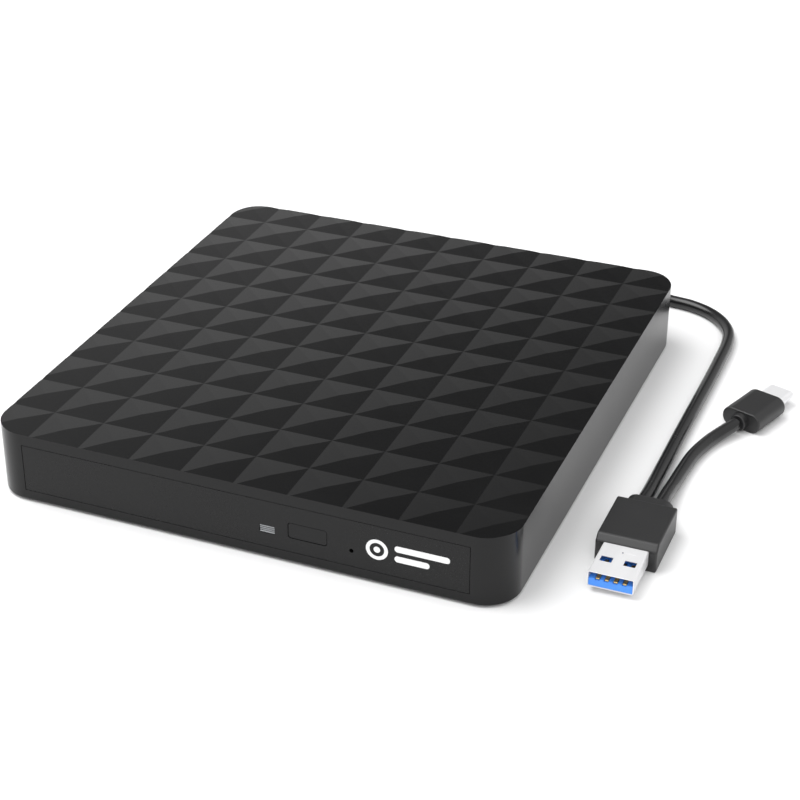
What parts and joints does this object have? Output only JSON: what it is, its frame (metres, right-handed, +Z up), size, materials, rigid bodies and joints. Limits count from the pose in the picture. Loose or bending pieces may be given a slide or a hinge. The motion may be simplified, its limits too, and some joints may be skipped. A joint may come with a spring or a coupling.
{
  "type": "external optical drive",
  "caption": "Flat portable disc drive with a faceted lid, a sliding tray with button and lamp, and a captive cord with two plugs.",
  "frame": {"origin": "on the floor, at the centre of the case's footprint, under the rubber feet", "axes": "+X to the right of the front panel, +Y back into the case, +Z up; the tray slides out towards -Y"},
  "size_m": [0.1926, 0.1821, 0.0214],
  "materials": {
    "case_plastic": "satin black",
    "tray_plastic": "fine texture",
    "panel_plastic": "satin black",
    "lamp_plastic": "frosted",
    "foot_rubber": "matte",
    "sheet_steel": "zinc plated sheet",
    "bright_steel": "ground and polished",
    "screw_steel": "black oxide",
    "motor_steel": "plated can",
    "zinc_casting": "as cast, zinc alloy",
    "slide_plastic": "natural acetal",
    "hub_plastic": "smooth",
    "lens_glass": "coated",
    "board_green": "solder mask",
    "chip_black": "moulded",
    "flex_brown": "polyimide film",
    "cord_black": "smooth jacket",
    "plug_black": "fine texture",
    "plug_nickel": "nickel plated",
    "tongue_blue": "moulded",
    "contact_gold": "gold plated"
  },
  "bodies": {
    "case": {"top_cover": "case_plastic", "bottom_cover": "case_plastic", "rubber_foot_front_left": "foot_rubber", "rubber_foot_rear_left": "foot_rubber", "rubber_foot_front_right": "foot_rubber", "rubber_foot_rear_right": "foot_rubber", "cover_screw_front_left": "screw_steel", "cover_screw_rear_left": "screw_steel", "cover_screw_front_right": "screw_steel", "cover_screw_rear_right": "screw_steel", "unit_pan": "sheet_steel", "unit_lid": "sheet_steel", "unit_connector": "chip_black", "slide_guide_left": "slide_plastic", "slide_guide_right": "slide_plastic", "latch_pin": "bright_steel", "ribbon_cable": "flex_brown", "bridge_board": "board_green", "board_screw_1": "screw_steel", "board_screw_2": "screw_steel", "bridge_socket": "chip_black", "bridge_chip": "chip_black", "cord_strain_relief": "cord_black", "main_cord": "cord_black", "pigtail_cord": "cord_black", "usb_a_overmould": "plug_black", "usb_a_shell": "plug_nickel", "usb_a_tongue": "tongue_blue", "usb_a_contact_1": "contact_gold", "usb_a_contact_2": "contact_gold", "usb_a_contact_3": "contact_gold", "usb_a_contact_4": "contact_gold", "usb_c_overmould": "plug_black", "usb_c_shell": "plug_nickel", "usb_c_insert": "chip_black"},
    "tray": {"disc_tray": "tray_plastic", "tray_under_plate": "sheet_steel", "tray_bezel": "panel_plastic", "lamp_lens": "lamp_plastic", "switch_board": "board_green", "eject_switch": "chip_black", "spindle_motor": "motor_steel", "traverse_frame": "zinc_casting", "main_guide_rod": "bright_steel", "side_guide_rod": "bright_steel", "sled_motor": "motor_steel", "control_board": "board_green"},
    "rail_left": {"slide_rail_left": "bright_steel"},
    "rail_right": {"slide_rail_right": "bright_steel"},
    "button": {"eject_button": "panel_plastic"},
    "spindle": {"spindle_rotor": "hub_plastic", "turntable_ring": "foot_rubber"},
    "claw_1": {"disc_claw_1": "slide_plastic"},
    "claw_2": {"disc_claw_2": "slide_plastic"},
    "claw_3": {"disc_claw_3": "slide_plastic"},
    "sled": {"pickup_sled": "zinc_casting"},
    "lens": {"lens_holder": "chip_black", "objective_lens": "lens_glass"},
    "lead": {"lead_screw": "bright_steel"},
    "latch": {"latch_hook": "slide_plastic"}
  },
  "joints": [
    {"name": "tray_slide", "type": "slide", "parent": "case", "child": "tray", "axis": [0, -1, 0], "range_m": [0, 0.13]},
    {"name": "rail_left_slide", "type": "slide", "parent": "case", "child": "rail_left", "axis": [0, -1, 0], "range_m": [0, 0.065]},
    {"name": "rail_right_slide", "type": "slide", "parent": "case", "child": "rail_right", "axis": [0, -1, 0], "range_m": [0, 0.065]},
    {"name": "eject_button_press", "type": "slide", "parent": "tray", "child": "button", "axis": [0, 1, 0], "range_m": [0, 0.0007], "stiffness_N_per_m": 1200, "springref_m": -0.0002},
    {"name": "spindle_spin", "type": "hinge", "parent": "tray", "child": "spindle", "pos_m": [0, -0.015, 0.012], "axis": [0, 0, 1], "continuous": true},
    {"name": "disc_claw_1_press", "type": "slide", "parent": "spindle", "child": "claw_1", "axis": [0, -1, 0], "range_m": [0, 0.0005], "stiffness_N_per_m": 250, "springref_m": -0.0002},
    {"name": "disc_claw_2_press", "type": "slide", "parent": "spindle", "child": "claw_2", "axis": [0.866, 0.5, 0], "range_m": [0, 0.0005], "stiffness_N_per_m": 250, "springref_m": -0.0002},
    {"name": "disc_claw_3_press", "type": "slide", "parent": "spindle", "child": "claw_3", "axis": [-0.866, 0.5, 0], "range_m": [0, 0.0005], "stiffness_N_per_m": 250, "springref_m": -0.0002},
    {"name": "sled_travel", "type": "slide", "parent": "tray", "child": "sled", "axis": [0.7071, -0.7071, 0], "range_m": [0, 0.034]},
    {"name": "lead_screw_turn", "type": "hinge", "parent": "tray", "child": "lead", "pos_m": [0.01591, -0.05354, 0.00895], "axis": [0.7071, -0.7071, 0], "range_deg": [0, 4080]},
    {"name": "lens_focus", "type": "slide", "parent": "sled", "child": "lens", "axis": [0, 0, 1], "range_m": [-0.0004, 0.0006], "stiffness_N_per_m": 60},
    {"name": "latch_swing", "type": "hinge", "parent": "tray", "child": "latch", "pos_m": [-0.043, 0.0335, 0.0076], "axis": [0, 0, -1], "range_deg": [0, 8]}
  ],
  "couplings": [
    {"joint": "rail_left_slide", "follows": "tray_slide", "ratio": 0.5},
    {"joint": "rail_right_slide", "follows": "tray_slide", "ratio": 0.5},
    {"joint": "lead_screw_turn", "follows": "sled_travel", "rad_per_m": 2094.4}
  ]
}
